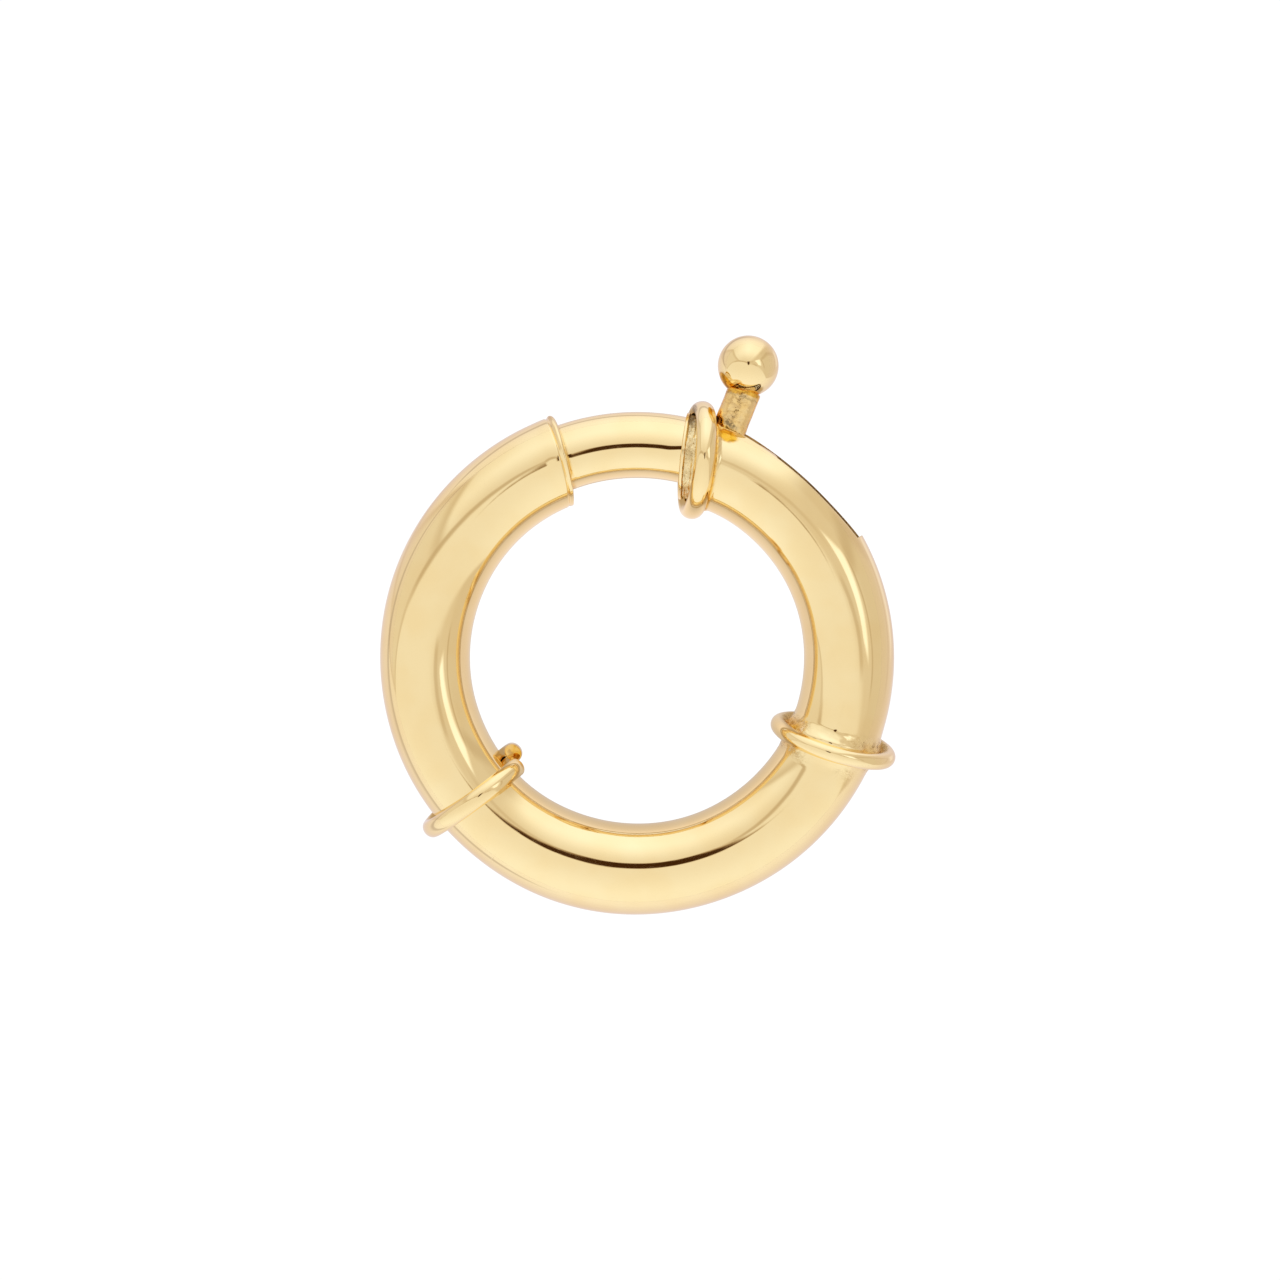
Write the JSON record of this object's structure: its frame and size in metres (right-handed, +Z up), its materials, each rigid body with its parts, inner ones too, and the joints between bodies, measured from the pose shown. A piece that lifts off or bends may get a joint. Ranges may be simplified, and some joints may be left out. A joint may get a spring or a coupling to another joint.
{
  "type": "spring ring clasp",
  "caption": "Polished gold spring ring clasp: a hollow ring closed by a sprung curved tongue with a ball lever, with wire rings round its tube.",
  "frame": {"origin": "centre of the ring, halfway up its tube", "axes": "+Z up along the ring's axis, as it lies flat; +Y towards the gap and the lever; +X to the right of the gap"},
  "size_m": [0.0201, 0.0225, 0.005],
  "materials": {
    "ring_tube": "polished yellow gold, rough where it is soldered",
    "jump_ring": "polished yellow gold",
    "tongue": "polished yellow gold",
    "lever": "polished ball on a dull post",
    "spring": "bright drawn wire"
  },
  "bodies": {
    "ring": {"ring_tube": "ring_tube", "jump_ring": "jump_ring", "spring": "spring"},
    "bolt": {"tongue": "tongue", "lever": "lever"}
  },
  "joints": [
    {"name": "tongue_slide", "type": "hinge", "parent": "ring", "child": "bolt", "pos_m": [0, 0, 0], "axis": [0, 0, -1], "range_deg": [0, 35.3], "stiffness_Nm_per_rad": 0.01, "springref_deg": -34.38, "deforming": ["spring"]}
  ]
}
